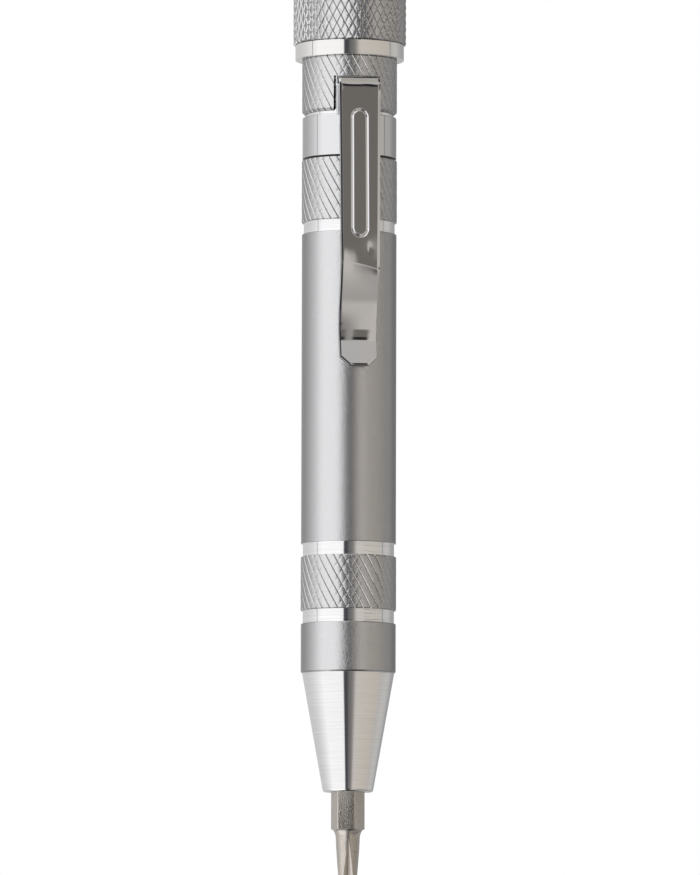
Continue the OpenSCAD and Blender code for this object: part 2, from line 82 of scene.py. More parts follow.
def add_piece(name, points, faces, body, material, node):
    """Puts points (in mm) and faces into a mesh that rides on a body and stands for a node."""
    mesh = bpy.data.meshes.new(name)
    corners = np.concatenate([np.asarray(f, dtype=np.int32).ravel() for f in faces])
    counts = np.concatenate([np.full(len(f), f.shape[1], dtype=np.int32) for f in faces])
    starts = np.concatenate([[0], np.cumsum(counts)[:-1]]).astype(np.int32)
    mesh.vertices.add(len(points))
    mesh.vertices.foreach_set("co", (np.asarray(points) * MM).astype(np.float32).ravel())
    mesh.loops.add(len(corners))
    mesh.loops.foreach_set("vertex_index", corners)
    mesh.polygons.add(len(counts))
    mesh.polygons.foreach_set("loop_start", starts)
    mesh.polygons.foreach_set("loop_total", counts)
    mesh.update(calc_edges=True)
    mesh.validate()
    mesh.shade_smooth()
    mesh.set_sharp_from_angle(angle=SHARP)
    mesh.materials.append(material)
    piece = new_object(name, mesh)
    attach(piece, body)
    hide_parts(node)
    print(name + ":", len(points), "points,", len(counts), "faces")
    return piece


def face_centres(piece):
    """The middle of every face, in mm, as rows of x, y and z."""
    centres = np.zeros(len(piece.data.polygons) * 3, np.float32)
    piece.data.polygons.foreach_get("center", centres)
    return centres.reshape(-1, 3) / MM


def second_finish(piece, material, chosen):
    """Gives the chosen faces of a piece a second material."""
    piece.data.materials.append(material)
    piece.data.polygons.foreach_set("material_index", chosen.astype(np.int32))
    print(piece.name + ":", int(chosen.sum()), "faces of", material.name)


# %% [markdown]
# A turned piece is a profile carried round the axis, as a lathe does. Its edges
# are never quite sharp, and their small rounds catch the light, so the profile's
# corners are eased first.

# %% Easing the corners of a profile
LEAD = 0.05


def rounded(corners, steps=7):
    """Eases the corners of an outline.

    Each corner is (radius, height, easing). An arc of that easing touches both
    sides, worked out from the half angle between them. A further point, a lead
    outside each end of the arc, keeps the long faces flat in their shading.
    """
    points = []
    last = len(corners) - 1
    for i, (r, z, ease) in enumerate(corners):
        here = np.array([r, z])
        if not ease or i in (0, last):
            points.append(here)
            continue
        back = np.array(corners[i - 1][:2]) - here
        ahead = np.array(corners[i + 1][:2]) - here
        back, ahead = back / np.linalg.norm(back), ahead / np.linalg.norm(ahead)
        half = np.arccos(np.clip(back @ ahead, -1, 1)) / 2
        middle = (back + ahead) / np.linalg.norm(back + ahead)
        centre = here + middle * ease / np.sin(half)
        reach = ease / np.tan(half)
        start, end = here + back * reach - centre, here + ahead * reach - centre
        sweep = np.arctan2(start[0] * end[1] - start[1] * end[0], start @ end)
        turn = np.linspace(0, sweep, steps)[:, None]
        square = np.array([-start[1], start[0]])
        points.append(here + back * (reach + LEAD))
        points.extend(centre + start * np.cos(turn) + square * np.sin(turn))
        points.append(here + ahead * (reach + LEAD))
    return np.array(points)


print("an eased corner has", len(rounded([(0, 0, 0), (1, 0, 0.1), (1, 1, 0)])) - 2, "points")


# %% Turning a profile round Z
ON_AXIS = 1e-6


def lathe(outline, steps=180):
    """Points at (r cos t, r sin t, z) for every outline point and every step t of a full turn.

    The outline runs with the solid on its left. Rows on the axis close to one
    point, where quads become triangles, and a closed outline shares its first row.
    """
    r, z = outline[:, 0], outline[:, 1]
    turn = np.linspace(0, 2 * np.pi, steps, endpoint=False)
    x, y = r[:, None] * np.cos(turn), r[:, None] * np.sin(turn)
    grid = np.stack([x, y, np.repeat(z[:, None], steps, 1)], axis=-1)
    index = np.arange(len(r) * steps).reshape(len(r), steps)
    pole = r < ON_AXIS
    index[pole] = index[pole][:, :1]
    if np.allclose(outline[0], outline[-1]):
        index[-1] = index[0]
    quads = wall_faces(index)
    low_closed = quads[:, 0] == quads[:, 1]
    high_closed = quads[:, 2] == quads[:, 3]
    faces = [quads[~low_closed & ~high_closed]]
    if low_closed.any():
        faces.append(quads[low_closed][:, [0, 2, 3]])
    if high_closed.any():
        faces.append(quads[high_closed & ~low_closed][:, [0, 1, 2]])
    return used_points(grid.reshape(-1, 3), faces)


def wall_faces(index):
    """Quads between the rows of a ring, where every row has the same turns."""
    low, high = index[:-1], index[1:]
    return np.stack([low, np.roll(low, -1, 1), np.roll(high, -1, 1), high], axis=-1).reshape(-1, 4)


def used_points(points, faces):
    """Drops the points that no face uses and numbers the rest again."""
    used = np.unique(np.concatenate([f.ravel() for f in faces]))
    number = np.zeros(len(points), dtype=np.int32)
    number[used] = np.arange(len(used))
    return points[used], [number[f] for f in faces]


# %% [markdown]
# ## Shader helpers
# Small functions place and link nodes, so each material reads as a short recipe.

# %% Placing and linking nodes
class Recipe:
    """A node tree with short ways to add nodes and link them."""

    def __init__(self, tree):
        self.tree = tree

    def add(self, kind, *inputs, **settings):
        """A new node with its first inputs filled."""
        node = self.tree.nodes.new(kind)
        for key, value in settings.items():
            setattr(node, key, value)
        for key, value in enumerate(inputs):
            self.put(node.inputs[key], value)
        return node

    def put(self, socket, value):
        """Links another node's output, or sets a plain value."""
        if value is None:
            return
        if isinstance(value, bpy.types.NodeSocket):
            self.tree.links.new(value, socket)
        else:
            socket.default_value = value

    def math(self, operation, *values):
        return self.add("ShaderNodeMath", *values, operation=operation).outputs[0]

    def fit(self, value, low, high, to_low=0.0, to_high=1.0, smooth=True):
        """Carries low to high over to another range, and holds its ends outside."""
        node = self.add("ShaderNodeMapRange", value, low, high, to_low, to_high)
        node.interpolation_type = "SMOOTHSTEP" if smooth else "LINEAR"
        return node.outputs[0]

    def mix(self, factor, a, b, blend="MIX"):
        """From colour a at factor 0 to colour b at factor 1."""
        node = self.add("ShaderNodeMix", data_type="RGBA", blend_type=blend)
        self.put(node.inputs[0], factor)
        self.put(node.inputs[6], a)
        self.put(node.inputs[7], b)
        return node.outputs[2]

    def times(self, colour, factor):
        """A colour times a number."""
        node = self.add("ShaderNodeVectorMath", colour, None, None, factor, operation="SCALE")
        return node.outputs[0]

    def effect(self, group, **values):
        """Places a node group with its own values and gives its outputs."""
        node = self.add("ShaderNodeGroup", node_tree=group)
        for label, value in values.items():
            node.inputs[label].default_value = value
        return node.outputs

    def ramp(self, factor, stops):
        """A tone for every factor, blended between stops of (place, tone)."""
        node = self.add("ShaderNodeValToRGB", factor)
        ends = node.color_ramp.elements
        ends[0].position, ends[0].color = stops[0][0], grey(stops[0][1])
        ends[-1].position, ends[-1].color = stops[-1][0], grey(stops[-1][1])
        for place, tone in stops[1:-1]:
            ends.new(place).color = grey(tone)
        return node.outputs[0]


def grey(tone):
    """A tone as a colour: one number is a grey."""
    return (tone, tone, tone, 1.0) if np.isscalar(tone) else (*tone, 1.0)


def new_material(name):
    """A new material, its recipe and the inputs of its Principled shader."""
    material = bpy.data.materials.new(name)
    material.use_nodes = True
    print("material:", name)
    tree = material.node_tree
    return material, Recipe(tree), tree.nodes["Principled BSDF"].inputs


# %% [markdown]
# ## Effects that several finishes share
# Blasted grain, turning lines and faint handling marks each become a node group
# with named inputs. A finish then picks its own scale and strength. All of them
# read Object coordinates, so the pattern stays where it is when the part moves.

# %% A new node group
def new_effect(name, inputs, outputs):
    """A new shader node group with its input and output nodes."""
    group = bpy.data.node_groups.new(name, "ShaderNodeTree")
    for label, default in inputs:
        socket = group.interface.new_socket(label, in_out="INPUT", socket_type="NodeSocketFloat")
        socket.default_value = default
    for label in outputs:
        kind = "NodeSocketVector" if label == "Normal" else "NodeSocketFloat"
        group.interface.new_socket(label, in_out="OUTPUT", socket_type=kind)
    r = Recipe(group)
    place = r.add("ShaderNodeTexCoord").outputs["Object"]
    print("effect:", name)
    return group, r, place, r.add("NodeGroupInput").outputs, r.add("NodeGroupOutput").inputs


def put_bump(r, height, depth, distance, out):
    """Turns a height into the group's Normal."""
    bump = r.add("ShaderNodeBump")
    r.put(bump.inputs["Distance"], distance)
    r.put(bump.inputs["Strength"], depth)
    r.put(bump.inputs["Height"], height)
    r.put(out["Normal"], bump.outputs[0])


# %% [markdown]
# Blasting with glass beads leaves a skin of tiny overlapping dimples. Fine noise
# with cells over it stands for them, and the same noise tints the metal a little.

# %% Blasted grain
GRAIN_HEIGHT = 0.00006
inputs = [("Size", 0.00016), ("Depth", 0.4)]
grain, r, place, given, out = new_effect("Blasted grain", inputs, ["Mask", "Normal"])
scale = r.math("DIVIDE", 1.0, given["Size"])
fine = r.add("ShaderNodeTexNoise", place, None, scale, 3.0, 0.65).outputs["Fac"]
pits = r.add("ShaderNodeTexVoronoi", place, None, r.math("MULTIPLY", scale, 0.8)).outputs["Distance"]
r.put(out["Mask"], r.fit(fine, 0.3, 0.7))
put_bump(r, r.math("ADD", fine, r.math("MULTIPLY", pits, 0.5)), given["Depth"], GRAIN_HEIGHT, out)

# %% [markdown]
# A turning tool leaves lines round the axis. The noise for them is read at the
# height plus the radius, so the lines run round on walls and faces alike. Only a
# fiftieth of x and y goes in, which lets a line waver a little on its way round.

# %% Turning lines
LINE_HEIGHT, WAVER = 0.00002, 0.02
inputs = [("Pitch", 0.00012), ("Depth", 0.2)]
turning, r, place, given, out = new_effect("Turning lines", inputs, ["Mask", "Normal"])
x, y, z = r.add("ShaderNodeSeparateXYZ", place).outputs
radius = r.math("SQRT", r.math("ADD", r.math("MULTIPLY", x, x), r.math("MULTIPLY", y, y)))
height = r.math("ADD", z, radius)
line = r.add("ShaderNodeCombineXYZ", r.math("MULTIPLY", x, WAVER), r.math("MULTIPLY", y, WAVER), height)
scale = r.math("DIVIDE", 1.0, given["Pitch"])
lines = r.add("ShaderNodeTexNoise", line.outputs[0], None, scale, 2.0, 0.6).outputs["Fac"]
r.put(out["Mask"], r.fit(lines, 0.35, 0.65))
put_bump(r, lines, given["Depth"], LINE_HEIGHT, out)

# %% [markdown]
# Soft smudges and a few small specks dull a metal that is handled. Both are noise
# with all but its peaks cut away.

# %% Handling marks
inputs = [("Size", 0.003), ("Amount", 0.5)]
marks, r, place, given, out = new_effect("Handling marks", inputs, ["Mask"])
scale = r.math("DIVIDE", 1.0, given["Size"])
cloud = r.add("ShaderNodeTexNoise", place, None, scale, 4.0, 0.6).outputs["Fac"]
specks = r.add("ShaderNodeTexNoise", place, None, r.math("MULTIPLY", scale, 9.0), 2.0, 0.5).outputs["Fac"]
either = r.math("MAXIMUM", r.fit(cloud, 0.5, 0.75), r.fit(specks, 0.68, 0.74))
r.put(out["Mask"], r.math("MULTIPLY", either, given["Amount"]))


# %% [markdown]
# A metal is its colour and its roughness, varied by these effects. A blasted or
# knurled surface also shades itself: seen from the side, its own bumps hide the
# light, so the colour is darkened there by the angle to the camera.

# %% A metal made from these effects
MARKS_ROUGHEN = 0.08
SIDE_ON = (0.12, 0.85)


def metal(name, base, rough, shade=0.9, grain_depth=0.0, grain_size=0.00016, line_depth=0.0,
          line_pitch=0.00012, mark_amount=0.3, mark_size=0.003, grazing=1.0, metallic=1.0, specular=0.5):
    """A metal whose colour and roughness vary with its grain, lines and marks.

    The colour runs from the base to the base times the shade, and is multiplied
    by the grazing value where it is seen from the side.
    """
    material, r, shader = new_material(name)
    r.put(shader["Metallic"], metallic)
    r.put(shader["Specular IOR Level"], specular)
    marked = r.effect(marks, Size=mark_size, Amount=mark_amount)["Mask"]
    tone, normal = marked, None
    if line_depth:
        turned = r.effect(turning, Pitch=line_pitch, Depth=line_depth)
        tone, normal = turned["Mask"], turned["Normal"]
    if grain_depth:
        blasted = r.effect(grain, Size=grain_size, Depth=grain_depth)
        tone, normal = blasted["Mask"], blasted["Normal"]
    colour = r.mix(tone, grey(base), grey(tuple(v * shade for v in base)))
    if grazing < 1.0:
        turned_away = r.fit(r.add("ShaderNodeLayerWeight", 0.5).outputs["Facing"], *SIDE_ON)
        colour = r.mix(turned_away, colour, grey(grazing), "MULTIPLY")
    r.put(shader["Base Color"], colour)
    r.put(shader["Roughness"], r.math("MULTIPLY_ADD", marked, MARKS_ROUGHEN, rough))
    r.put(shader["Normal"], normal)
    return material


# %% A moulded plastic or rubber
MOULD_GRAIN, MOULD_DEPTH = 0.0003, 0.15


def plastic(name, base, rough):
    """A moulded plastic or rubber with a fine grain, a quarter lighter where it is marked."""
    material, r, shader = new_material(name)
    moulded = r.effect(grain, Size=MOULD_GRAIN, Depth=MOULD_DEPTH)
    light = tuple(v * 1.25 + 0.004 for v in base)
    r.put(shader["Base Color"], r.mix(r.effect(marks)["Mask"], grey(base), grey(light)))
    r.put(shader["Roughness"], r.math("MULTIPLY_ADD", moulded["Mask"], 0.1, rough))
    r.put(shader["Normal"], moulded["Normal"])
    return material


# %% [markdown]
# ## Finishes
# The satin barrel is bead-blasted: its grain breaks up what it mirrors, and it
# darkens where it is seen from the side. The head's knurl has a coarser skin.
# Grooves, collar and nose are bright turned metal, nearly mirrors, with fine lines
# round the axis. The clip is plated sheet, its lower edges painted near black as
# painted shade for their dark outline, and the bits are plain hardened steel.

# %% The metals that show
ALUMINIUM = (0.65, 0.65, 0.66)
satin = metal("satin_blasted_aluminium", (0.635, 0.635, 0.645), 0.19, 0.92,
              grain_depth=0.4, grain_size=0.00014, grazing=0.35)
knurled = metal("knurled_aluminium", ALUMINIUM, 0.2, 0.87,
                grain_depth=0.3, grain_size=0.00012, grazing=0.45)
pressed = metal("pressed_head_knurl", ALUMINIUM, 0.2, 0.8,
                grain_depth=0.75, grain_size=0.0004, grazing=0.45)
bright = metal("bright_turned_metal", (0.84, 0.84, 0.85), 0.06, 0.94, line_depth=0.8, line_pitch=0.00025)
polished = metal("polished_nose_plating", (0.82, 0.81, 0.81), 0.07, 0.93, line_depth=0.08, mark_amount=0.5)
collar_metal = metal("bright_collar_plating", (0.82, 0.81, 0.8), 0.05, 0.95, line_depth=0.1)
sheet_metal = metal("plated_clip_sheet", (0.71, 0.71, 0.722), 0.05, 0.96, mark_size=0.002, grazing=0.6)
# Painted shade: a near-black, barely glossy finish for the clip's lower edges, where shade and dark
# reflections draw a dark line.
painted_edge_shade = metal("painted_shade_on_sheet_edges", (0.06, 0.058, 0.056), 0.35, 0.85,
                     grain_depth=0.3, grain_size=0.0001, metallic=0.0, specular=0.15)
bit_metal = metal("hardened_bit_steel", (0.62, 0.575, 0.525), 0.16, 0.7,
                  grain_depth=0.35, grain_size=0.00013)

# %% The finishes inside
socket_metal = metal("machined_socket_steel", (0.45, 0.45, 0.45), 0.3, 0.85, line_depth=0.3)
magnet_metal = metal("nickel_plated_magnet", (0.62, 0.61, 0.58), 0.15, 0.95)
ring_metal = metal("spring_steel_ring", (0.35, 0.35, 0.36), 0.3, 0.9)
ball_metal = metal("polished_ball_steel", (0.7, 0.7, 0.7), 0.05, 0.98)
rubber = plastic("black_seal_rubber", (0.02, 0.02, 0.021), 0.55)
washer_plastic = plastic("ivory_washer_plastic", (0.6, 0.57, 0.5), 0.4)
rack_plastic = plastic("black_rack_plastic", (0.028, 0.028, 0.031), 0.42)

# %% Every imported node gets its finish
BITS = ("driver_bit", "cross_bit_0", "cross_bit_00", "slot_bit_2", "slot_bit_3", "star_bit_6", "hex_bit_2")
finish_of = {
    "bit_socket": socket_metal, "socket_magnet": magnet_metal, "cap_plug": collar_metal,
    "cap_seal": rubber, "swivel_washer": washer_plastic, "swivel_snap_ring": ring_metal,
    "thrust_ball": ball_metal, "bit_rack": rack_plastic, "handle": satin,
    "upper_sleeve": knurled, "nose_cone": polished, "clip_band": sheet_metal,
    "clip_arm": sheet_metal, "swivel_head": pressed, **dict.fromkeys(BITS, bit_metal),
}
for name, finish in finish_of.items():
    nodes[name].data.materials.clear()
    nodes[name].data.materials.append(finish)
print("finishes:", len(set(finish_of.values())), "on", len(finish_of), "nodes")

# %% [markdown]
# ## The bits
# A ground hexagon never has perfectly sharp edges. Each bit is shown by a copy
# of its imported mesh, with flat faces joined up again and every edge bevelled by
# about a tenth of a millimetre. A bevel can't be wider than the shortest edge
# that it meets, so points that nearly touch are merged first.

# %% Bevelled copies of the bits
SAME_POINT, NEAR_POINT, FLAT_ANGLE = 1e-6, 3e-5, np.radians(2)
BIT_EASE, BIT_EDGE = 0.00013, np.radians(25)
for name in BITS:
    shape = bmesh.new()
    shape.from_mesh(nodes[name].data)
    shape.transform(nodes[name].matrix_world)
    bmesh.ops.remove_doubles(shape, verts=shape.verts, dist=SAME_POINT)
    bmesh.ops.dissolve_limit(shape, angle_limit=FLAT_ANGLE, verts=shape.verts, edges=shape.edges)
    bmesh.ops.remove_doubles(shape, verts=shape.verts, dist=NEAR_POINT)
    mesh = bpy.data.meshes.new("eased_" + name)
    shape.to_mesh(mesh)
    shape.free()
    mesh.shade_smooth()
    mesh.materials.append(bit_metal)
    eased_bit = new_object("eased_" + name, mesh)
    bevel = eased_bit.modifiers.new("ease", "BEVEL")
    bevel.width, bevel.segments, bevel.limit_method = BIT_EASE, 2, "ANGLE"
    bevel.angle_limit, bevel.harden_normals = BIT_EDGE, True
    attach(eased_bit, "bit" if name == "driver_bit" else "cap")
    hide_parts(name)
    print(eased_bit.name + ":", len(mesh.polygons), "faces before the bevel")

# %% [markdown]
# ## The handle
# The tube is one turned piece. Its outline is drawn once, with each edge eased by
# a tenth of a millimetre, so that the edges catch the light as turned edges do.
# Under the two knurled bands it stays at the depth of the grooves, and the knurls
# sit there as meshes of their own.

# %% The turned tube
EASE = 0.11
NECK_Z = CLIP_KNURL_TOP_Z - EASE
tube = rounded([
    (BORE_R, NOSE_Z, 0), (BODY_R - 0.2, NOSE_Z, 0.05), (BODY_R, NOSE_Z + 0.22, 0.08),
    (BODY_R, BAND_TOP_Z, EASE), (GROOVE_R, BAND_TOP_Z, 0.03), (GROOVE_R, SATIN_Z, 0.03),
    (BODY_R, SATIN_Z, EASE), (BODY_R, SATIN_TOP_Z, EASE), (GROOVE_R, SATIN_TOP_Z, 0.03),
    (GROOVE_R, NECK_Z, 0), (NECK_R, NECK_Z, 0), (NECK_R, NECK_TOP_Z, 0.1), (BORE_R, NECK_TOP_Z, 0.1),
    (BORE_R, NOSE_Z, 0),
])
points, faces = lathe(tube, 200)
handle_tube = add_piece("handle_tube", points, faces, "handle", satin, "handle")

# %% [markdown]
# The bright grooves were turned after the blasting, so they are mirrors between
# satin bands. Their faces get a second material by their distance from the axis.

# %% Bright grooves
centres = face_centres(handle_tube)
from_axis = np.hypot(centres[:, 0], centres[:, 1])
second_finish(handle_tube, bright, (from_axis < BODY_R - 0.12) & (from_axis > NECK_R - 0.1))


# %% [markdown]
# ## Knurls
# A knurling wheel presses two families of slanted grooves into the metal, and
# diamonds are left standing between them. A picture of that would look flat at
# the outline, so the knurls are real meshes. Their points sit on the crossings of
# two slanted sets of lines, so every groove runs exactly along mesh edges, and a
# diamond needs only some seventy triangles.

# %% A knurled band
SLANT = np.radians(30)


def knurl(radius, low, high, starts, places, drop_a, drop_b, ease, inner, foot=None):
    """A closed ring with a knurled outside, as many grooves round it as it has starts.

    Row k is turned by half a cell against its neighbours. With q counting half
    cells round the ring, a point's place in the two groove families is
    a = (q + k) / 2 and b = (q - k) / 2. Each diamond's cells are moved to the
    given places, so that the grooves can be narrow, and the radius drops by what
    the two profiles say for a and b. The foot is a chamfer, and the top falls
    away to the grooves' floor.
    """
    cells, foot = len(places), foot or ease
    row_step = np.pi * radius / starts / np.tan(SLANT) / cells
    rows = 2 * int(round((high - low - ease - foot) / row_step / 2))
    columns = starts * cells
    k = np.arange(rows + 1)[:, None]
    q = 2 * np.arange(columns)[None, :] + k % 2
    a, b = (q + k) // 2, (q - k) // 2
    r_out = radius - np.take(drop_a, a % cells) - np.take(drop_b, b % cells)
    place_a, place_b = (family // cells + np.take(places, family % cells) for family in (a, b))
    turn = np.pi * (place_a + place_b) / starts
    along = np.clip((place_a - place_b) * cells / rows, 0, 1)
    z = low + foot + (high - low - ease - foot) * along
    floor = radius - 0.6 * (max(drop_a) + max(drop_b)) - ease
    flat = np.ones((1, columns))
    below = [(inner * flat, low * flat), (r_out[:1] - foot, low * flat),
             (r_out[:1] - 0.02, (low + foot - 0.02) * flat)]
    above = [(r_out[-1:] - 0.35 * ease, (high - 0.3 * ease) * flat), (floor * flat, high * flat),
             (inner * flat, high * flat)]
    r_all, z_all = (np.vstack(rows) for rows in zip(*below, (r_out, z), *above))
    turn_all = np.vstack([turn[:1]] * 3 + [turn] + [turn[-1:]] * 3)
    grid = np.stack([r_all * np.cos(turn_all), r_all * np.sin(turn_all), z_all], axis=-1)
    index = np.arange(r_all.size).reshape(r_all.shape)
    back_wall = np.vstack([index[-1:], index[:1]])
    faces = [strip_faces(index[3:-3]), wall_faces(index[:4]), wall_faces(index[-4:]), wall_faces(back_wall)]
    return grid.reshape(-1, 3), faces


def strip_faces(index):
    """Triangles between rows that are shifted by half a cell in turn."""
    low, high = index[:-1], index[1:]
    low_next, high_next = np.roll(low, -1, 1), np.roll(high, -1, 1)
    even = (np.arange(len(low)) % 2 == 0)[:, None]
    first = np.stack([low, low_next, np.where(even, high, high_next)], axis=-1)
    second = np.where(even[..., None], np.stack([low_next, high_next, high], axis=-1),
                      np.stack([low, high_next, high], axis=-1))
    return np.vstack([first.reshape(-1, 3), second.reshape(-1, 3)])


# %% [markdown]
# One family of the handle's grooves is cut clearly and narrow, the other only
# brushes the surface. The lands between them are very slightly domed.

# %% The two bands of the handle
HANDLE_STARTS = 35
NARROW = (0, 0.085, 0.3, 0.5, 0.7, 0.915)
CLEAR = (0.1, 0.024, 0.005, 0, 0.005, 0.024)
FAINT = (0.02, 0.002, 0, 0, 0, 0.002)
KNURL_EASE, KNURL_WALL = 0.12, 0.2
for name, low, high in (("grip_knurl", GRIP_Z, GRIP_TOP_Z),
                        ("clip_end_knurl", CLIP_KNURL_Z, CLIP_KNURL_TOP_Z)):
    points, faces = knurl(KNURL_R, low, high, HANDLE_STARTS, NARROW, CLEAR, FAINT, KNURL_EASE,
                          GROOVE_R - KNURL_WALL)
    add_piece(name, points, faces, "handle", knurled, "handle")

# %% [markdown]
# ## The swivelling head
# The head has the deepest knurl, pressed in fully from both sides, and its lands
# lean: each rises slowly and falls off steeply. The top face is above the
# photograph's edge. It is made as such heads are: a turned face with a wide
# shallow dish for the fingertip.

# %% The head's knurl
HEAD_R, HEAD_Z, HEAD_TOP_Z = BODY_R + 1.25, 116.04, 122.71
HEAD_STARTS, HEAD_KNURL_TOP_Z = 42, HEAD_TOP_Z - 0.35
BROAD = (0, 0.1, 0.3, 0.5, 0.72, 0.88)
DEEP = (0.11, 0.082, 0.065, 0.035, 0, 0.014)
points, faces = knurl(HEAD_R, HEAD_Z, HEAD_KNURL_TOP_Z, HEAD_STARTS, BROAD, DEEP, DEEP, KNURL_EASE,
                      HEAD_R - 1.2)
add_piece("head_knurl", points, faces, "head", pressed, "swivel_head")

# %% The head's core
HEAD_BORE_R, HEAD_BORE_Z = 2.65, HEAD_TOP_Z - 1.0
RIM_R, RECESS_Z = HEAD_R - 0.4, HEAD_Z + 0.25
core = rounded([
    (HEAD_BORE_R, RECESS_Z, 0), (HEAD_R - 1.0, RECESS_Z, 0), (HEAD_R - 1.0, HEAD_Z + 0.02, 0),
    (RIM_R, HEAD_Z + 0.02, 0.08), (RIM_R, HEAD_TOP_Z - 0.5, 0.05),
    (HEAD_R - 0.25, HEAD_TOP_Z - 0.45, 0.05), (HEAD_R - 0.7, HEAD_TOP_Z, 0.12),
    (HEAD_R - 1.6, HEAD_TOP_Z, 0.15), (HEAD_R - 1.9, HEAD_TOP_Z - 0.18, 0.1), (0, HEAD_TOP_Z - 0.34, 0),
])
bore = [(0, HEAD_BORE_Z), (HEAD_BORE_R, HEAD_BORE_Z), (HEAD_BORE_R, RECESS_Z)]
points, faces = lathe(np.vstack([core, bore]))
add_piece("head_core", points, faces, "head", bright, "swivel_head")

# %% [markdown]
# ## The collar
# The collar belongs to the plug that closes the handle. Only its rim shows, as a
# narrow mirror with eased edges. It is turned here with the plug and the post
# as one piece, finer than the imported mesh, because a mirror shows every facet.

# %% The collar, plug and post
COLLAR_R, COLLAR_Z, COLLAR_TOP_Z = BODY_R + 0.95, 113.96, 116.01
PLUG_R, PLUG_Z, PLUG_EASE = 5.249, 108.06, 0.04
SEAL_R, SEAL_Z, SEAL_TOP_Z = 4.35, 110.26, 111.26
PEG_HOLE_R, PEG_HOLE_Z = 1.52, PLUG_Z + 3.05
POST_R, POST_TOP_Z = 2.5, 119.51
SNAP_R, SNAP_Z, SNAP_TOP_Z = 2.1, 118.16, 118.66
BALL_SEAT_R, BALL_SEAT_Z = 1.25, 118.21
plug = rounded([
    (0, PEG_HOLE_Z, 0), (PEG_HOLE_R, PEG_HOLE_Z, 0), (PEG_HOLE_R, PLUG_Z, 0.05),
    (PLUG_R, PLUG_Z, 0.12), (PLUG_R, SEAL_Z, PLUG_EASE), (SEAL_R, SEAL_Z, PLUG_EASE),
    (SEAL_R, SEAL_TOP_Z, PLUG_EASE), (PLUG_R, SEAL_TOP_Z, PLUG_EASE), (PLUG_R, COLLAR_Z, 0.03),
    (COLLAR_R, COLLAR_Z, 0.05), (COLLAR_R, COLLAR_TOP_Z, 0.08), (POST_R, COLLAR_TOP_Z, 0),
    (POST_R, SNAP_Z, 0), (SNAP_R, SNAP_Z, 0), (SNAP_R, SNAP_TOP_Z, 0), (POST_R, SNAP_TOP_Z, 0),
    (POST_R, POST_TOP_Z, 0.1), (BALL_SEAT_R, POST_TOP_Z, 0), (BALL_SEAT_R, BALL_SEAT_Z, 0),
    (0, BALL_SEAT_Z, 0),
], 9)
points, faces = lathe(plug, 220)
add_piece("collar_and_plug", points, faces, "cap", collar_metal, "cap_plug")

# %% [markdown]
# ## The nose
# A polished cone with a rounded mouth. A spigot holds it in the handle, and the
# steel socket for the bit sits inside it.

# %% The nose cone
MOUTH_Z, MOUTH_R, MOUTH_BORE_R, LIP = 14.8, 3.357, 2.417, 1.0
SPIGOT_R, SPIGOT_TOP_Z, SOCKET_BORE_R = 5.279, 39.26, 3.017
cone = rounded([
    (MOUTH_BORE_R, MOUTH_Z + LIP, 0), (MOUTH_BORE_R, MOUTH_Z, 0.12), (MOUTH_R, MOUTH_Z, 0.3),
    (BODY_R - 0.2, NOSE_Z, 0.05), (SPIGOT_R, NOSE_Z, 0), (SPIGOT_R, SPIGOT_TOP_Z, 0.1),
    (SOCKET_BORE_R, SPIGOT_TOP_Z, 0.1), (SOCKET_BORE_R, MOUTH_Z + LIP, 0),
    (MOUTH_BORE_R, MOUTH_Z + LIP, 0),
], 9)
points, faces = lathe(cone, 220)
add_piece("polished_nose_cone", points, faces, "handle", polished, "nose_cone")

# %% [markdown]
# ## The clip's own frame
# The clip sits ten degrees to the right of the front. Its pieces are written in
# its own frame: r away from the axis, w to the right and z up. Slots are cut by
# a box in that frame, because a cut through a knurl is no simple grid.

# %% From the clip's frame to the tool's
CLIP_TURN = np.radians(10.2)
BOX_FACES = [(0, 1, 3, 2), (4, 6, 7, 5), (0, 4, 5, 1), (2, 3, 7, 6), (0, 2, 6, 4), (1, 5, 7, 3)]


def at_clip(r, w, z):
    """Turns r and w by the clip's angle t: x = r sin t + w cos t, and y = w sin t - r cos t."""
    return np.stack([r * np.sin(CLIP_TURN) + w * np.cos(CLIP_TURN),
                     w * np.sin(CLIP_TURN) - r * np.cos(CLIP_TURN), z + 0 * r], axis=-1)


def cut_box(piece, r_span, w_span, z_span):
    """Cuts a box, given in the clip's frame, out of a piece. The Boolean's result replaces the mesh."""
    r, w, z = (grid.ravel() for grid in np.meshgrid(r_span, w_span, z_span, indexing="ij"))
    box = bpy.data.meshes.new("cutter")
    box.from_pydata((at_clip(r, w, z) * MM).tolist(), [], BOX_FACES)
    cutter = new_object("cutter", box)
    cut = piece.modifiers.new("cut", "BOOLEAN")
    cut.operation, cut.solver, cut.object = "DIFFERENCE", "EXACT", cutter
    shape = piece.evaluated_get(bpy.context.evaluated_depsgraph_get())
    mesh = bpy.data.meshes.new_from_object(shape)
    piece.modifiers.clear()
    piece.data = mesh
    mesh.shade_smooth()
    mesh.set_sharp_from_angle(angle=SHARP)
    bpy.data.objects.remove(cutter)
    bpy.data.meshes.remove(box)
    print(piece.name, "is cut:", len(mesh.polygons), "faces")


# %% [markdown]
# ## The upper sleeve
# A short knurled ring on the neck, with a slot from below for the clip's tongue.
# Its knurl is pressed a quarter less deep than the handle's.

# %% The slotted sleeve
SLEEVE_Z, SLEEVE_R, SLEEVE_FOOT = 106.51, BODY_R + 0.025, 0.36
SLOT_HALF, SLOT_TOP_Z = 3.18, 111.17
CLEAR_SLEEVE = tuple(0.75 * drop for drop in CLEAR)
points, faces = knurl(SLEEVE_R, SLEEVE_Z, NECK_TOP_Z, HANDLE_STARTS, NARROW, CLEAR_SLEEVE, FAINT, 0.02,
                      NECK_R + 0.02, SLEEVE_FOOT)
sleeve = add_piece("knurled_upper_sleeve", points, faces, "handle", knurled,
                   "upper_sleeve")
cut_box(sleeve, (4, 9), (-SLOT_HALF, SLOT_HALF), (SLEEVE_Z - 1, SLOT_TOP_Z))
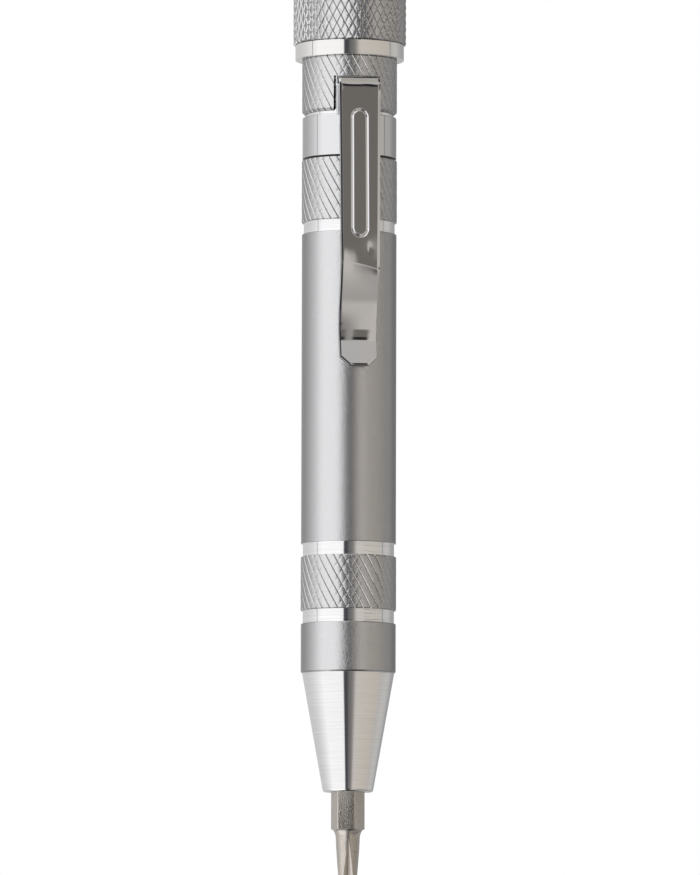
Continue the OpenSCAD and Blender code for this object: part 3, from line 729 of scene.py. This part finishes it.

# %% [markdown]
# ## The clip
# The clip is one strip of plated sheet in life, and two solids here, because the
# fold is where it springs. The band and its tongue ride on the handle. The band
# is a turned ring with a slit at its back, where the ends of the strip meet, and
# its lower edge is painted near black: painted shade for the dark gap beneath it.

# %% The band
SHEET = 0.46
BAND_IN_R, BAND_OUT_R = NECK_R + 0.05, NECK_R + 0.05 + SHEET
SLIT_HALF = 0.2
middle_z = (BAND_Z + BAND_RIM_Z) / 2
ring = rounded([
    (BAND_IN_R, middle_z, 0), (BAND_IN_R, BAND_Z, 0.04), (BAND_OUT_R - 0.26, BAND_Z, 0.04),
    (BAND_OUT_R, BAND_Z + 0.28, 0.08), (BAND_OUT_R, BAND_RIM_Z, 0.1), (BAND_IN_R, BAND_RIM_Z, 0.04),
    (BAND_IN_R, middle_z, 0),
])
points, faces = lathe(ring, 220)
band = add_piece("clip_ring", points, faces, "handle", sheet_metal, "clip_band")
cut_box(band, (-9, -4), (-SLIT_HALF, SLIT_HALF), (BAND_Z - 1, BAND_RIM_Z + 1))
second_finish(band, painted_edge_shade, face_centres(band)[:, 2] < BAND_Z + 0.25)

# %% The tongue
ARM_HALF, TONGUE_TOP_Z = 2.83, 109.83
section = rounded([
    (BAND_IN_R, 0, 0), (BAND_IN_R, -ARM_HALF, 0.03), (BAND_OUT_R, -ARM_HALF, 0.22),
    (BAND_OUT_R, ARM_HALF, 0.22), (BAND_IN_R, ARM_HALF, 0.03), (BAND_IN_R, 0, 0),
])[:-1]
layers = [at_clip(section[:, 0], section[:, 1], z) for z in (BAND_RIM_Z - 0.24, TONGUE_TOP_Z)]
index = np.arange(2 * len(section)).reshape(2, -1)
tongue_faces = [wall_faces(index), index[:1, ::-1], index[1:]]
add_piece("clip_tongue", np.vstack(layers), tongue_faces, "handle", sheet_metal, "clip_band")

# %% [markdown]
# The arm is a sweep. Its side view is a chain of arcs and straights, and every row
# of points stands square to it. From the fold the outside runs down the flat with
# the pressed ring, then bends in towards the handle, comes round again in a
# hollow and flares out to the foot.

# %% The side view of the arm
def follow(start, legs):
    """Rows (r, z, n) along the outside, where n is the normal's angle above the level.

    Each leg is (length, its last angle, steps). The angle changes evenly along a
    leg, and every small step goes by (sin n, -cos n).
    """
    rows = [np.array([start])]
    for length, end, steps in legs:
        r, z, angle = rows[-1][-1]
        angles = np.linspace(angle, end, steps + 1)
        middle = np.radians((angles[1:] + angles[:-1]) / 2)
        step = length / steps * np.stack([np.sin(middle), -np.cos(middle)], axis=-1)
        rows.append(np.column_stack([np.array([r, z]) + np.cumsum(step, axis=0), angles[1:]]))
    side = np.vstack(rows)
    side[:, 2] = np.radians(side[:, 2])
    return side


FOLD_R, FOLD_Z = 5.887, 109.96
LEAN, FOOT_LEAN = 2.25, 12.6
RING_TOP, RING_END, FLAT, FOOT, CORNER = 2.37, 19.92, 23.27, 2.853, 1.15
MARGIN, CAP, LAST = 0.05, 1.4, 0.4
RING_MIDDLE = RING_END - RING_TOP + 2 * MARGIN - 2 * CAP
fold_legs = [(0.424, 180, 2), (1.0776, 90, 12), (1.8082, 10, 16), (1.1275, LEAN, 9)]
ring_legs = [(RING_TOP - MARGIN, LEAN, 11), (CAP, LEAN, 28), (RING_MIDDLE, LEAN, 18), (CAP, LEAN, 28),
             (FLAT - RING_END - MARGIN, LEAN, 16)]
lower_legs = [(0.26, -13, 8), (4.673, -20, 20), (3.9134, 0, 24), (2.4654, FOOT_LEAN, 16)]
foot_legs = [(FOOT - CORNER, FOOT_LEAN, 12), (CORNER - LAST, FOOT_LEAN, 15), (LAST, FOOT_LEAN, 24)]
side = follow((FOLD_R, FOLD_Z, 180), fold_legs + ring_legs + lower_legs + foot_legs)
side_r, side_z, side_angle = side[:, :1], side[:, 1:2], side[:, 2:]
steps_along = np.linalg.norm(np.diff(side[:, :2], axis=0), axis=1)
travel = np.concatenate([[0], np.cumsum(steps_along)])[:, None]
fold_rows = 1 + sum(steps for _, _, steps in fold_legs)
print("arm:", len(side), "rows,", round(float(travel[-1, 0]), 2), "mm along its outside")

# %% [markdown]
# Each row is laid out across the width. The strip narrows evenly down to its
# foot, whose corners are cut off. The columns stand close where the pressed ring
# and the rolled edges need them, and wide apart between. The ring is a hair left
# of the middle, and its columns go with it.

# %% The columns across the arm
FOOT_HALF, FOOT_Z = 2.485, 72.93
RING_HALF, RING_SHIFT, EDGE_HALF = 1.265, 0.03, 0.46
ring_places = np.append(0.07 * np.arange(11), [
    0.745, 0.78, 0.835, 0.895, 0.955, 1.005, 1.055, 1.115, 1.175, 1.23, RING_HALF])
edge_places = np.array([EDGE_HALF, 0.38, 0.33, 0.3, 0.27, 0.2, 0.12, 0.06, 0.03, 0.015, 0.005, 0.001, 0])
to_end = travel[-1:] - travel
wide = np.interp(-side_z, (-FOLD_Z, -FOOT_Z), (ARM_HALF, FOOT_HALF))
wide[:fold_rows] = ARM_HALF
half = np.minimum(wide, wide - CORNER + to_end)
squeeze = np.minimum(RING_HALF, half - EDGE_HALF - 0.1)
between = squeeze + (half - EDGE_HALF - squeeze) * np.array([0.3, 0.65])
right = np.hstack([ring_places / RING_HALF * squeeze, between, half - edge_places])
w = np.hstack([-right[:, :0:-1], right])
w = w - RING_SHIFT * np.clip((half - 0.5 - np.abs(w)) / 0.4, 0, 1)
print("arm:", w.shape[1], "columns")

# %% [markdown]
# Stamping leaves the sheet's face sloping away towards its edges, and the edge
# itself is a tiny round. Down to the bend the slope is the same on both sides.
# Below it the right side is flatter, and the left eases off towards the foot. The
# slopes set how wide the bright and dark lines along the arm are.

# %% How far the outside falls away
ROLL_OFF, BREAK, SOFT_START = 0.3, 0.03, 0.008
SLOPE, FLATTER, FOOT_SLOPE = 13, 8, 4.7
LEFT_EASES, CROWN_Z, CROWN_LENGTH, FLATTER_Z = 4.6, 80.2, 3.6, 85


def arc_drop(distance, across):
    """How far a quarter round falls away at a distance from the outline."""
    near = np.clip(1 - distance / across, 0, 1)
    return across * (1 - np.sqrt(1 - near ** 2))


def stamped_drop(distance, degrees):
    """Slopes away at so many degrees from the roll-off's width outwards, with a soft start."""
    slope = np.tan(np.radians(degrees)) * (ROLL_OFF - distance)
    return (slope + np.hypot(slope, SOFT_START)) / 2


to_side = wide - np.abs(w)
to_corner = (wide - np.abs(w) + to_end - CORNER) / np.sqrt(2)
edge = np.clip(np.minimum(np.minimum(to_side, to_corner), to_end), 0, None)
left_slope = SLOPE - LEFT_EASES * np.clip((CROWN_Z - side_z) / CROWN_LENGTH, 0, 1)
right_slope = SLOPE - FLATTER + FLATTER * np.clip(side_z - FLATTER_Z, 0, 1)
slope = np.where(w < 0, left_slope, right_slope)
stamped = np.maximum(stamped_drop(to_side, slope), stamped_drop(to_corner, slope))
stamped = np.maximum(stamped, stamped_drop(to_end, FOOT_SLOPE))
print("the edges fall away by up to", round(float(stamped.max()), 3), "mm")

# %% [markdown]
# The ring is pressed in as a narrow V that runs along a stadium: two straights
# with a half circle at each end. The distance to that line gives the depth.

# %% The pressed ring, and both faces of the sheet
RING_R, RING_CAP = 1.01, 1.23
RING_DEPTH, RING_SPREAD = 0.1, 0.19
along = travel - travel[fold_rows - 1]
middle = np.clip(along, RING_TOP + RING_CAP, RING_END - RING_CAP)
from_line = np.abs(np.hypot(w + RING_SHIFT, along - middle) - RING_R)
groove = RING_DEPTH * np.clip(1 - from_line / RING_SPREAD, 0, 1)
outside = stamped + arc_drop(edge, BREAK) + groove
inside = SHEET - arc_drop(edge, 0.05)
print("the ring is", round(RING_END - RING_TOP, 2), "mm long and", RING_DEPTH, "mm deep")

# %% [markdown]
# Stamped and bent sheet is never quite plain. The foot is crowned, as it follows
# the round handle. At the bend the left side is lifted a little, the bend comes
# lower on the right than on the left, and just above it there is a small dent.
# The fold's front waves up and down across the width, and the left half grows a
# little wider on its way down.

# %% The arm's irregularities
CROWN_W, CROWN_R = 0.45, 34
LIFT_Z, LIFT_LENGTH, LIFT_W, LIFT_HEIGHT = 85.6, 2.6, 0.5, 0.01
DENT_W, DENT_Z, DENT_TALL, DENT_SPREAD, DENT_DEPTH = 1.25, 87.9, 1.6, 0.1, 0.014
WAVE_Z, WAVE_LENGTH, WAVE_BACK_R, WAVE_SOFT = 109.2, 0.8, 6.3, 0.25
WAVE_PLACES = (-2.83, -2.4, -1.9, -1, 0, 0.6, 1.1, 1.7, 2.4, 2.83)
WAVE_RISES = (-0.3, -0.2, 0.02, 0, 0, -0.12, -0.22, -0.12, 0.1, 0.14)
BEND_Z, BEND_LENGTH, BEND_SOFT = 86.3, 2.5, 0.35
BEND_PLACES, BEND_DROPS = (-1.2, 0.8, 1.8, 2.8), (0, 0.5, 0.8, 1.2)
WIDER, WIDER_Z, WIDER_LENGTH = 0.035, 100, 15


def eased(x, places, values, width):
    """Linear steps between values, averaged over a width so that they have no kinks."""
    shifts = np.linspace(-width, width, 9)
    return np.mean([np.interp(x + shift, places, values) for shift in shifts], axis=0)


def hump(value, middle, spread):
    """A bell: e to the minus square of the distance over the spread."""
    return np.exp(-((value - middle) / spread) ** 2)


print("the foot's crown has a radius of", CROWN_R, "mm")


# %% A layer of the arm at any depth
def arm_layer(depth):
    """Points at a depth under the outside, square to the side view.

    The crown lowers the foot by the square of w, taken from its own middle, over
    twice its radius, after a smooth step. The lift goes with the square of w too,
    and the dent is a hump. Wave and bend shift the points up or down by an eased
    table of w, within a hump of z.
    """
    r = side_r - depth * np.cos(side_angle)
    z = side_z - depth * np.sin(side_angle)
    step = np.clip((CROWN_Z - z) / CROWN_LENGTH, 0, 1)
    crown = ((w - CROWN_W) ** 2 - CROWN_W ** 2) / (2 * CROWN_R)
    r = r - step ** 2 * (3 - 2 * step) * crown
    r = r + hump(z, LIFT_Z, LIFT_LENGTH) * LIFT_HEIGHT * (w - LIFT_W) ** 2 * (w < LIFT_W)
    from_dent = (w - DENT_W) ** 2 + ((z - DENT_Z) / DENT_TALL) ** 2
    r = r - DENT_DEPTH * np.exp(-from_dent / DENT_SPREAD)
    wave = eased(w, WAVE_PLACES, WAVE_RISES, WAVE_SOFT) * np.clip(r - WAVE_BACK_R, 0, 1)
    z = z + wave * hump(z, WAVE_Z, WAVE_LENGTH)
    z = z - eased(w, BEND_PLACES, BEND_DROPS, BEND_SOFT) * hump(z, BEND_Z, BEND_LENGTH)
    left = 1 + WIDER * (w < 0) * np.clip((WIDER_Z - z) / WIDER_LENGTH, 0, 1)
    return at_clip(r, w * left, z)


points = np.stack([arm_layer(outside), arm_layer(inside)])
front, back = np.arange(points[..., 0].size).reshape(points.shape[:3])
points = points.reshape(-1, 3)
print("arm:", len(points), "points")

# %% [markdown]
# Front and back are grids of quads, and four rims close them. The rims below the
# fold are painted near black: painted shade for the arm's dark outline. Faces that
# all point outwards give a positive volume, which is quickly measured.

# %% The closed arm
def grid_faces(grid):
    """Quads between neighbouring rows and columns."""
    return np.stack([grid[:-1, :-1], grid[:-1, 1:], grid[1:, 1:], grid[1:, :-1]], axis=-1).reshape(-1, 4)


def rim(outer, inner):
    """Quads between two lines of points."""
    return np.stack([outer[:-1], inner[:-1], inner[1:], outer[1:]], axis=-1)


SHADE_PAINTED_BELOW_Z = 105
faces = [grid_faces(front)[:, ::-1], grid_faces(back), rim(front[:, 0], back[:, 0]),
         rim(front[:, -1], back[:, -1])[:, ::-1], rim(front[0], back[0])[:, ::-1], rim(front[-1], back[-1])]
quads = np.vstack(faces)
a, b, c, d = (points[quads[:, corner]] for corner in range(4))
volume = np.einsum("ij,ij->i", a, np.cross(b, c) + np.cross(c, d)).sum() / 6
print("the arm's volume:", round(volume, 1), "cubic mm")
arm = add_piece("sprung_clip_arm", points, faces, "clip", sheet_metal, "clip_arm")
on_rim = np.arange(len(quads)) >= len(faces[0]) + len(faces[1])
second_finish(arm, painted_edge_shade, on_rim & (a[:, 2] < SHADE_PAINTED_BELOW_Z))

# %% [markdown]
# ## The studio
# The photograph is cut out on white, so the background is white to the camera.
# What the metal mirrors is the studio: a large soft light on the left, a dark gap
# where the camera stands, and a warm grey wall on the right. That is painted on
# the world by direction, because a lamp would mirror as a small hard box. Two
# angles give a direction: the compass, with 0 at the camera's side and +X to the
# right, and the lift above the level.

# %% The two angles of a direction
world = bpy.data.worlds.new("studio")
bpy.context.scene.world = world
world.use_nodes = True
r = Recipe(world.node_tree)
x, y, z = r.add("ShaderNodeSeparateXYZ", r.add("ShaderNodeTexCoord").outputs["Generated"]).outputs
compass_share = r.fit(r.math("ARCTAN2", x, r.math("MULTIPLY", y, -1.0)), -np.pi, np.pi, smooth=False)
compass = r.math("MULTIPLY_ADD", compass_share, 360.0, -180.0)
lift = r.math("MULTIPLY", r.math("ARCSINE", z), 180 / np.pi)
print("world:", world.name)

# %% [markdown]
# Four ramps over the compass say how bright the studio is: at the level, at the
# crest, above the crest and below the level. A stop is a compass angle and a
# tone, and a tone of three numbers is a colour.

# %% Four ramps over the compass
DARK = (0.075, 0.075, 0.085)


def studio_ramp(stops):
    """The tone at a compass angle, blended between stops of (degrees, tone)."""
    return r.ramp(compass_share, [((degrees + 180) / 360, tone) for degrees, tone in stops])


level = studio_ramp([
    (-180, 0.58), (-150, 0.68), (-126, 0.72), (-108, 0.8), (-97, 0.88), (-85.5, 1.0),
    (-70, 1.15), (-25, 1.12), (-13, 1.08), (-11, DARK), (-3, DARK), (2, 0.17),
    (10, (0.23, 0.22, 0.21)), (15, (0.36, 0.34, 0.32)), (20, (0.6, 0.57, 0.53)),
    (25, (0.66, 0.62, 0.58)), (57, (0.63, 0.59, 0.53)), (80, (0.6, 0.56, 0.5)),
    (97, (0.56, 0.54, 0.52)), (115, (0.6, 0.59, 0.57)), (138, 0.42), (160, 0.38), (180, 0.45),
])
crest = studio_ramp([
    (-180, 0.5), (-100, 0.7), (-80, 1.0), (-25, 1.0), (-12.5, 0.9), (-11, DARK), (-2.5, DARK),
    (-1, 0.58), (30, (0.58, 0.55, 0.52)), (90, 0.5), (180, 0.4),
])
above = studio_ramp([
    (-180, 0.55), (-120, 0.6), (-90, 1.4), (-20, 1.4), (-5, 0.8), (8, (0.55, 0.535, 0.46)),
    (38, (0.5, 0.485, 0.42)), (50, 0.08), (110, 0.08), (130, 0.5), (180, 0.55),
])
below = studio_ramp([
    (-180, 0.5), (-120, 0.55), (-90, 1.4), (-20, 1.4), (-8, 0.05), (9, 0.05),
    (15, (0.46, 0.445, 0.415)), (38, (0.44, 0.42, 0.39)), (50, 0.36), (180, 0.42),
])
print("ramps: level, crest, above, below")

# %% [markdown]
# Upright walls such as the barrel's mirror a few lifts just above the level, and
# the nose some below it. All other lifts are mirrored by slopes: the clip's edges,
# the knurls and the bit. So the level's tones can be changed for each by itself.
# Thin dark seams bound the light and the wall.

# %% The level, as each piece mirrors it
BARREL_LIFTS, NOSE_LIFTS = (0.5, 11.5), (-20, -3.5)
SEAMS = ((-87.2, -85.2), (95.2, 97.2))
ELSEWHERE = ((40, 118, 0.3), (-85, -20, 1.25), (-13, 12, 0.5))


def window(value, start, end, soft):
    """One between start and end, zero outside, with soft edges."""
    begins = r.fit(value, start - soft, start + soft)
    return r.math("MULTIPLY", begins, r.fit(value, end + soft, end - soft))


seams = r.math("MAXIMUM", *(window(compass, start, end, 0.6) for start, end in SEAMS))
tone = r.mix(r.math("MULTIPLY", seams, r.fit(lift, -4, -1, 0.0, 0.7)), level, grey(0.1))
nose_sees = window(lift, *NOSE_LIFTS, 1.5)
nose_side = r.math("MULTIPLY", nose_sees, window(compass, 125, 179, 12))
tone = r.times(tone, r.math("MULTIPLY_ADD", nose_side, 0.2, 1.0))
elsewhere = r.math("SUBTRACT", 1.0, r.math("MAXIMUM", window(lift, *BARREL_LIFTS, 1.5), nose_sees))
for start, end, change in ELSEWHERE:
    spot = r.math("MULTIPLY", elsewhere, window(compass, start, end, 3))
    tone = r.times(tone, r.math("MULTIPLY_ADD", spot, change - 1.0, 1.0))
print("changes to the level:", 2 + len(ELSEWHERE))

# %% [markdown]
# The clip's face looks up a little and mirrors higher lifts. Two dim panels stand
# there on the right of the camera, darker at their tops. Over them come the crest,
# the upper walls and the roof, and below the level the lower walls and, straight
# down, a dark ground.

# %% From the ground to the roof
PANELS, PANEL_LIFTS, PANEL_TOPS = ((6, 13.5), (17, 24.3)), (9.5, 21), (19.8, 24)
PANEL_TONE, PANEL_TOP_TONE = (0.193, 0.178, 0.162), 0.02
CREST, UPPER_WALLS, ROOF, LOWER_WALLS, GROUND = (24, 26), (34, 40), (62, 75), (-22, -34), (-60, -72)
ROOF_TONE, GROUND_TONE = (0.58, 0.56, 0.52), 0.04
panels = r.math("MAXIMUM", *(window(compass, start, end, 1) for start, end in PANELS))
tone = r.mix(r.math("MULTIPLY", panels, window(lift, *PANEL_LIFTS, 0.8)), tone, grey(PANEL_TONE))
tone = r.mix(r.fit(lift, *CREST), tone, crest)
tone = r.mix(r.math("MULTIPLY", panels, window(lift, *PANEL_TOPS, 0.5)), tone, grey(PANEL_TOP_TONE))
tone = r.mix(r.fit(lift, *UPPER_WALLS), tone, above)
tone = r.mix(r.fit(lift, *ROOF), tone, grey(ROOF_TONE))
tone = r.mix(r.fit(lift, *LOWER_WALLS), tone, below)
tone = r.mix(r.fit(lift, *GROUND), tone, grey(GROUND_TONE))
seen = r.add("ShaderNodeLightPath").outputs["Is Camera Ray"]
backdrop = world.node_tree.nodes["Background"].inputs
r.put(backdrop["Color"], r.mix(seen, tone, grey(1.0)))
backdrop["Strength"].default_value = 1.0
print("nodes in the world:", len(world.node_tree.nodes))

# %% [markdown]
# ## The floor
# The tool hangs, so the floor lies well below it. It glows a little to the camera
# only, which brings it near the white of the background without lighting the
# metal. It isn't mirrored, casts no shadow, and is clear from underneath.

# %% A pale floor
FLOOR_HALF, FLOOR_Z, FLOOR_GLOW = 2.5, -0.15, 0.44
floor_mesh = bpy.data.meshes.new("studio_floor")
corners = [(-1, -1), (1, -1), (1, 1), (-1, 1)]
floor_mesh.from_pydata([(x * FLOOR_HALF, y * FLOOR_HALF, FLOOR_Z) for x, y in corners], [], [(0, 1, 2, 3)])
floor = new_object("studio_floor", floor_mesh)
pale, r, shader = new_material("pale_floor")
r.put(shader["Base Color"], grey(0.9))
r.put(shader["Roughness"], 0.9)
r.put(shader["Emission Strength"], 1.0)
seen = r.add("ShaderNodeLightPath").outputs["Is Camera Ray"]
r.put(shader["Emission Color"], r.mix(seen, grey(0.0), grey(FLOOR_GLOW)))
from_below = r.add("ShaderNodeNewGeometry").outputs["Backfacing"]
r.put(shader["Alpha"], r.math("SUBTRACT", 1.0, from_below))
floor_mesh.materials.append(pale)
floor.visible_glossy = False
floor.visible_shadow = False
print("floor:", 2 * FLOOR_HALF, "m wide at z", FLOOR_Z, "m")

# %% [markdown]
# ## The camera
# A long lens from over a metre away, tilted up by five degrees. The focal length
# was worked out in the photograph's pixels, and Blender takes it for a film that
# is 36 mm high.

# %% The camera
TILT, ROLL = np.radians(5.1), np.radians(0.14)
DISTANCE, AIM = 1.1747, Vector((0.00017, 0.0, 0.06271))
FOCAL_PIXELS, PHOTO_PIXELS, FILM = 8700, 875, 36
camera_data = bpy.data.cameras.new("camera")
camera_data.lens = FOCAL_PIXELS * FILM / PHOTO_PIXELS
camera_data.clip_start, camera_data.clip_end = 0.05, 20
camera = new_object("camera", camera_data)
turn = Matrix.Rotation(np.pi / 2 + TILT, 4, "X") @ Matrix.Rotation(ROLL, 4, "Z")
look = Vector((0, np.cos(TILT), np.sin(TILT)))
camera.matrix_world = Matrix.Translation(AIM - DISTANCE * look) @ turn
bpy.context.scene.camera = camera
bpy.context.scene.view_settings.view_transform = "Standard"
print("camera at", [round(v, 4) for v in camera.location], "lens", round(camera_data.lens, 1))
